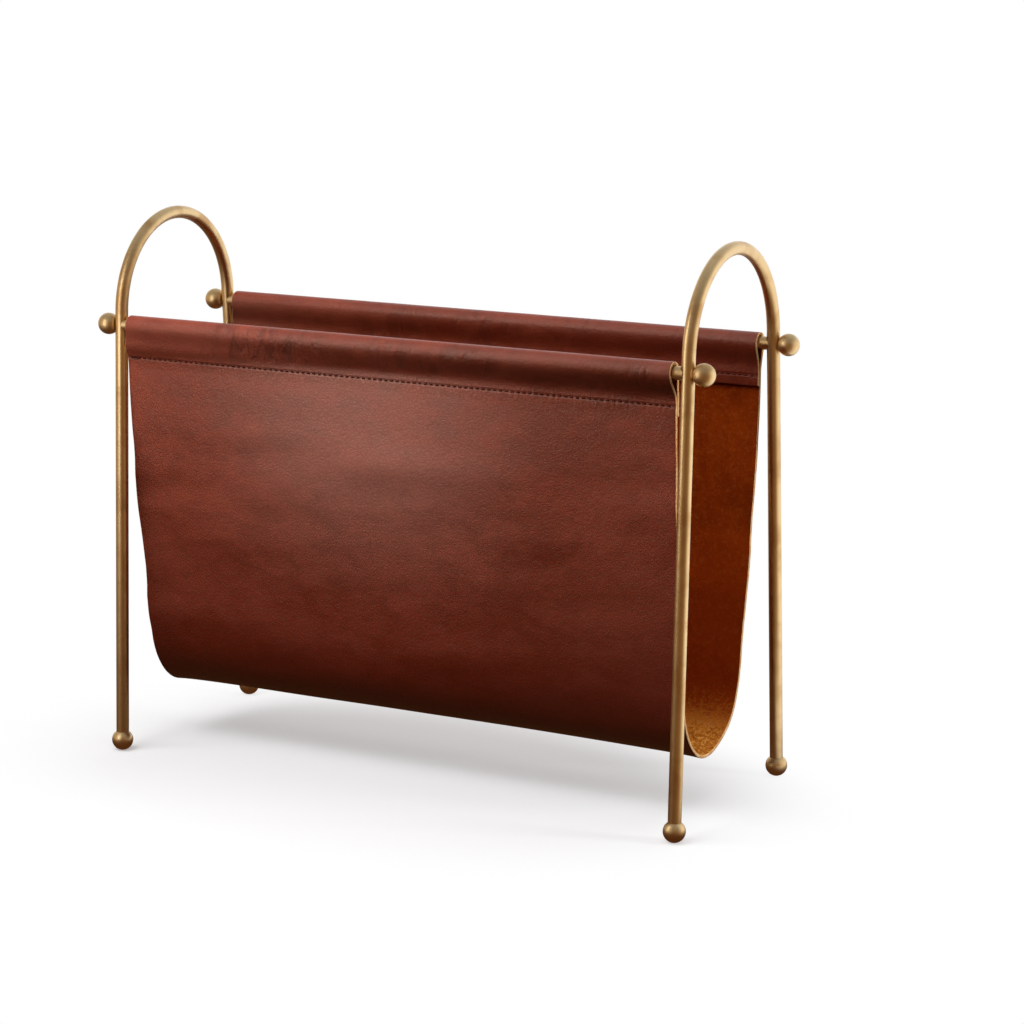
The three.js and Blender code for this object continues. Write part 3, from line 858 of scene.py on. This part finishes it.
def sheetPoint(x, s, lift):
    # the section at s, moved off it by lift, with the ends' hang, the bottom's sag and the hide's own waves
    y, z, outY, outZ = (np.interp(s, sectionS, values) for values in (*section.T, *outward.T))
    share = (x - leather["leftEnd"]) / leather["length"]
    fromHem = np.minimum(s, sheetLength - s)
    onPanel = smoothStep(fromHem, *(seams["panel"] + beyond for beyond in leather["panelBand"]))
    waves = leather["panelWaves"] * onPanel * softWaves(x, s, *leather["longWaves"])
    shortWaves = softWaves(x, s, *leather["shortWaves"])
    waves = waves + leather["shortWaveShare"] * leather["panelWaves"] * onPanel * shortWaves
    slack = smoothStep(fromHem, *leather["slackIn"]) * (1 - smoothStep(fromHem, *leather["slackOut"]))
    waves = waves + leather["sleeveWaves"] * slack * (0.5 + 0.5 * softWaves(x, s, *leather["slackWaves"]))
    pulled = np.interp(share, (0, leather["pulledUntil"]), leather["pulledStraight"])
    waves = waves + pulled * np.exp(-((fromHem - leather["pulledAt"]) / leather["pulledWidth"]) ** 2)
    y = y + (lift + waves) * outY
    z = z + (lift + waves) * outZ
    tips = np.where(y < 0, np.interp(share, (0, 0.5, 1), leather["frontTipOut"]),
                    np.interp(share, (0, 0.5, 1), leather["backTipOut"]))
    hang = (1 - smoothStep(z, *leather["tipOut"])) * smoothStep(z, *leather["tipIn"])
    y = y + np.where(y < 0, -1, 1) * tips * hang
    low = 1 - smoothStep(z, *leather["lowBand"])
    z = z + leather["bottomLift"] * low * (1 - (2 * share - 1) ** 2)
    fromEnd = np.minimum(share, 1 - share) * leather["length"]
    z = z - leather["endLip"] * low * dyingAway(fromEnd, leather["lipReach"])
    free = 1 - smoothStep(z, *leather["wanderOut"])
    nearLeft = dyingAway(x - leather["leftEnd"], leather["cutReach"])
    nearRight = dyingAway(leather["leftEnd"] + leather["length"] - x, leather["cutReach"]) * (y > 0)
    x = x + nearLeft * np.interp(z, *np.transpose(leather["leftCut"]))
    x = x - nearRight * np.interp(z, *np.transpose(leather["backRightCut"]))
    wander = leather["edgeWander"] * free * dyingAway(fromEnd, leather["wanderReach"])
    x = x + wander * softWaves(0 * s, s, *leather["edgeWaves"])
    return np.stack([x, y, z], -1)


def sheetRows():
    # rows stand close together where the section bends and further apart where it runs straight
    bend = np.abs(np.gradient(np.unwrap(np.arctan2(tangent[:, 1], tangent[:, 0])), sectionS))
    step = leather["bendPerStep"] / np.maximum(bend, 1e-6)
    step = np.clip(step, leather["fineStep"], leather["coarseStep"])
    count = np.concatenate([[0], np.cumsum(np.diff(sectionS) / step[1:])])
    return np.interp(np.linspace(0, count[-1], int(count[-1]) + 1), count, sectionS)


def withCuts(inner, start, end):
    # places from cut to cut, with the arrises' own places added, and the share of the thickness at each
    inset, share = np.transpose(leather["cutRound"])
    places = np.concatenate([start + inset, inner, (end - inset)[::-1]])
    return places, np.concatenate([share, np.ones(len(inner)), share[::-1]])


def makeSheet(finishes):
    # a closed skin: each row runs over the grain side, round the right cut, back over the flesh side
    # and round the left cut
    grainSide, fleshSide, cutEdge = 0, 1, 2
    arrisStrips = 2  # on either side of a cut, that show its raw fibre
    rows = sheetRows()
    rows = rows[(rows > leather["rowMargin"]) & (rows < sheetLength - leather["rowMargin"])]
    s, rowShare = withCuts(rows, 0, sheetLength)
    left, right = leather["leftEnd"], leather["leftEnd"] + leather["length"]
    inner = np.linspace(left + leather["columnMargin"], right - leather["columnMargin"], leather["columns"])
    across, columnShare = withCuts(inner, left, right)
    x = np.concatenate([across, across[::-1]])
    half = np.concatenate([columnShare, -columnShare[::-1]]) * leather["thickness"] / 2
    lift = half[None, :] * rowShare[:, None]
    points = sheetPoint(x[None, :] + 0 * lift, s[:, None] + 0 * lift, lift)
    faces, corners = gridFaces(len(s), len(x))
    lay = np.stack([x[corners[:, 0] % len(x)], s[corners[:, 1]]], -1)
    wide = len(across)
    column = corners[::4, 0]
    finish = np.where(column < wide - 1, grainSide, fleshSide)
    finish[(column % wide < arrisStrips) | (column % wide > wide - 2 - arrisStrips)] = cutEdge
    # the two hem cuts: grain side joined to flesh side
    caps, capLay = [], []
    for start, hemS in ((0, s[0]), ((len(s) - 1) * len(x), s[-1])):
        a = start + np.arange(wide - 1)
        b = start + 2 * wide - 1 - np.arange(wide - 1)
        quads = np.stack([a, a + 1, b - 1, b], -1)
        caps.append(quads)
        capLay.append(np.stack([x[(quads - start).ravel()], np.full(quads.size, hemS)], -1))
    faces = np.concatenate([faces, *caps])
    lay = np.concatenate([lay, *capLay])
    finish = np.concatenate([finish, np.full(2 * (wide - 1), fleshSide)])
    return makePiece("leather_sheet", points.reshape(-1, 3), faces, lay, finishes, finish, sharpFrom=60)


def makeStitches(name, seamS, finish):
    # one thread along the seam: it lies on the leather, slants a little, and dips where the needle went in
    count = int((stitch["end"] - stitch["start"]) / stitch["pitch"])
    whole = np.repeat(np.arange(count), len(stitch["places"]))
    along = np.tile(stitch["places"], count)
    x = stitch["start"] + (whole + along) * stitch["pitch"]
    tacked = x - stitch["start"] < stitch["backTack"]
    height = np.where(tacked, stitch["tackHeight"], np.tile(stitch["heights"], count))
    slant = (0.5 - along) * 2 * stitch["slant"]
    path = sheetPoint(x, seamS + slant, leather["thickness"] / 2 + height)
    radius = np.where(tacked, stitch["tackThickness"], 1.0) * stitch["radius"]
    return makePiece(name, *sweptBar(path, radius, stitch["sides"], (0, 0, 1)), [finish])


sheet = makeSheet([makeGrainSide(seams), makeFleshSide(sheetLength / 2), makeCutEdge()])
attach(sheet, "sling")
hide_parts("leather_sling")

threadFinish = makeThread()
for edge, node, seamS in [
    ("front_outside", "front_needle_thread", seams["panel"]),
    ("front_inside", "front_bobbin_thread", seams["hem"]),
    ("back_outside", "back_needle_thread", sheetLength - seams["panel"]),
    ("back_inside", "back_bobbin_thread", sheetLength - seams["hem"]),
]:
    piece = makeStitches(f"stitches_{edge}", seamS, threadFinish)
    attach(piece, "sling")
    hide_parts(node)
print("leather sheet made:", round(float(sheetLength) * 1000, 1), "mm from hem to hem")


# Studio

studio = {
    "floorSize": 6.0,
    "floorColor": (0.425, 0.442, 0.442, 1),
    "floorBounce": (0.06, 0.045, 0.04, 1),
    "floorGlow": (0.39, 0.366, 0.366, 1),
    # the floor fades to white round a point a little to the front left of the basket's middle
    "fadeShift": (0.02, 0.081, 0),
    "fadeStretch": (1, 1.61, 0),
    "fadeBand": (0.2, 0.38),
    # light from the world, by the height of its direction
    "levelBand": (-0.2, 1.0),
    "levels": (0.03, 0.4),
    "viewCompass": 28.84,
    "roundStrength": 2.1,
    "above": (0.75, (0.35, 0.375, 0.385, 1)),
    "aboveBand": (0.15, 0.75),
    # the floor in the brass: its colours turn about this line, and the basket shades it but for the right
    "footLine": ((-0.22, -0.07, 0), (0.22, -0.07, 0)),
    "underBasket": (0.1, 0.04, 0.014, 1),
    "shadeReach": (0.3, 0.17),
    "shadeBand": (0.8, 10.0),
    "clearBand": (0.235, 0.31),
    # degrees from the camera's own direction, more to the photo's right: what is there
    "round": {
        -180: (0.57, 0.58, 0.59), -125: (0.3, 0.25, 0.18), -97: (0.28, 0.22, 0.15), -72: (0.26, 0.21, 0.15),
        -56: (0.28, 0.24, 0.18), -42: (0.2, 0.15, 0.09), -26: (0.13, 0.075, 0.033), -6: (0.1, 0.048, 0.016),
        16: (0.12, 0.065, 0.026), 38: (0.13, 0.08, 0.038), 62: (0.25, 0.2, 0.14), 80: (0.34, 0.31, 0.26),
        102: (0.54, 0.54, 0.52), 128: (0.6, 0.62, 0.63), 150: (0.56, 0.58, 0.6), 180: (0.57, 0.58, 0.59),
    },
    # name: place, aim, width, height, watts, seen in sheen, lights plain surfaces
    "lamps": {
        "keyLeft": ((-0.65, -0.95, 1.65), (-0.05, 0, 0.2), 1.3, 1.0, 33, False, True),
        "stripRight": ((1.9, 0.35, 0.7), (0.1, 0, 0.2), 0.4, 1.2, 18, False, True),
        "overhead": ((0.3, 0.0, 2.0), (0, 0, 0), 2.4, 1.6, 24, False, True),
        # cards close to the basket, for the brass and the leather's haze alone
        "cardLeft": ((-0.35, -0.6, 0.51), (0.167, 0.255, 0.51), 0.3, 0.7, 1.4, True, False),
        "cardRight": ((0.55, 0.1, 0.27), (-0.45, 0.1, 0.27), 0.36, 0.54, 0.25, True, False),
    },
}
viewpoint = {
    "place": (1.080685, -1.855810, 0.668253),
    "right": (0.87642, 0.48152, -0.00451),
    "up": (-0.10063, 0.19229, 0.97616),
    "forward": (-0.47091, 0.85508, -0.21699),
    "lens": 105.38,
    "sensor": 36,
    "clip": (0.05, 50),
}


def makeFloor(studioRound):
    size = studio["floorSize"]
    points = np.array([(-size, -size, 0), (size, -size, 0), (size, size, 0), (-size, size, 0)], float)
    mesh = bpy.data.meshes.new("studio_floor")
    mesh.from_pydata(points, [], [(0, 1, 2, 3)])
    floor = addObject("studio_floor", mesh)
    material, tree, shader = newMaterial("studioFloor")
    rays = put(tree, "ShaderNodeLightPath").outputs
    color = blendColor(rays["Is Diffuse Ray"], studio["floorColor"], studio["floorBounce"])
    fill(tree, shader, {"Base Color": color, "Roughness": 0.9, "Specular IOR Level": 0.0})
    seen = rays["Is Camera Ray"]
    glow = after("ShaderNodeEmission", {"Color": studio["floorGlow"], "Strength": seen})[0]
    lit = after("ShaderNodeAddShader", {0: shader.outputs[0], 1: glow})[0]
    # far from the basket the floor is plain white to the camera
    place = texturePlace(tree, "Object")
    away = vectorNode("LENGTH", stretched(place, studio["fadeStretch"], studio["fadeShift"]))["Value"]
    far = times(remap(away, *studio["fadeBand"]), seen)
    white = put(tree, "ShaderNodeEmission", {"Strength": 1.0}).outputs[0]
    plain = after("ShaderNodeMixShader", {0: far, 1: lit, 2: white})[0]
    # in the brass it takes the studio's colours, darker close by, where the basket shades it
    left, right = studio["footLine"]
    nearest = vectorNode("MINIMUM", vectorNode("MAXIMUM", place, left)[0], right)[0]
    mirrored = useGroup(studioRound, {"Direction": vectorNode("SUBTRACT", place, nearest)[0]})["Color"]
    under = stretched(place, (*(1 / reach for reach in studio["shadeReach"]), 0.0))
    under = remap(vectorNode("LENGTH", under)["Value"], *studio["shadeBand"])
    clear = mathNode("MAXIMUM", under, remap(splitXYZ(place)["X"], *studio["clearBand"]))
    image = after("ShaderNodeEmission", {"Color": blendColor(clear, studio["underBasket"], mirrored)})[0]
    inMetal = mathNode("MAXIMUM", rays["Is Glossy Ray"], rays["Is Transmission Ray"])
    both = after("ShaderNodeMixShader", {0: inMetal, 1: plain, 2: image})[0]
    fill(tree, tree.nodes["Material Output"], {"Surface": both})
    mesh.materials.append(material)


def makeWorld(studioRound):
    # white to the camera, soft light from above on the basket, and the studio's colours in the brass
    world = bpy.data.worlds.new("studioWorld")
    world.use_nodes = True
    bpy.context.scene.world = world
    tree = world.node_tree
    rays = put(tree, "ShaderNodeLightPath").outputs
    direction = texturePlace(tree, "Generated")
    height = splitXYZ(direction)["Z"]
    level = remap(height, *studio["levelBand"], *studio["levels"], smooth=False)
    soft = after("ShaderNodeCombineXYZ", {"X": level, "Y": level, "Z": level})[0]
    mirrored = useGroup(studioRound, {"Direction": direction})["Color"]
    mirrored = tinted(mirrored, remap(height, *studio["aboveBand"]), studio["above"])
    inMetal = mathNode("MAXIMUM", rays["Is Glossy Ray"], rays["Is Transmission Ray"])
    color = blendColor(inMetal, soft, mirrored)
    color = blendColor(rays["Is Camera Ray"], color, (1, 1, 1, 1))
    fill(tree, tree.nodes["Background"], {"Color": color})


def makeLamps():
    for name, (place, aim, width, height, watts, mirrored, lighting) in studio["lamps"].items():
        light = bpy.data.lights.new(name, "AREA")
        light.shape, light.size, light.size_y, light.energy = "RECTANGLE", width, height, watts
        lamp = addObject(name, light)
        lamp.location = place
        lamp.rotation_euler = (Vector(aim) - Vector(place)).to_track_quat("-Z", "Y").to_euler()
        lamp.visible_camera = False
        lamp.visible_glossy = mirrored
        lamp.visible_diffuse = lighting


def makeCamera():
    data = bpy.data.cameras.new("camera")
    data.sensor_width, data.lens = viewpoint["sensor"], viewpoint["lens"]
    data.clip_start, data.clip_end = viewpoint["clip"]
    camera = addObject("camera", data)
    behind = tuple(-v for v in viewpoint["forward"])
    columns = [viewpoint["right"], viewpoint["up"], behind, viewpoint["place"]]
    camera.matrix_world = Matrix([[column[i] for column in columns] for i in range(3)] + [[0, 0, 0, 1]])
    bpy.context.scene.camera = camera


studioRound = makeStudioRound()
makeFloor(studioRound)
makeWorld(studioRound)
makeLamps()
makeCamera()
bpy.context.scene.view_settings.view_transform = "Standard"
print("studio made")

bpy.context.view_layer.update()
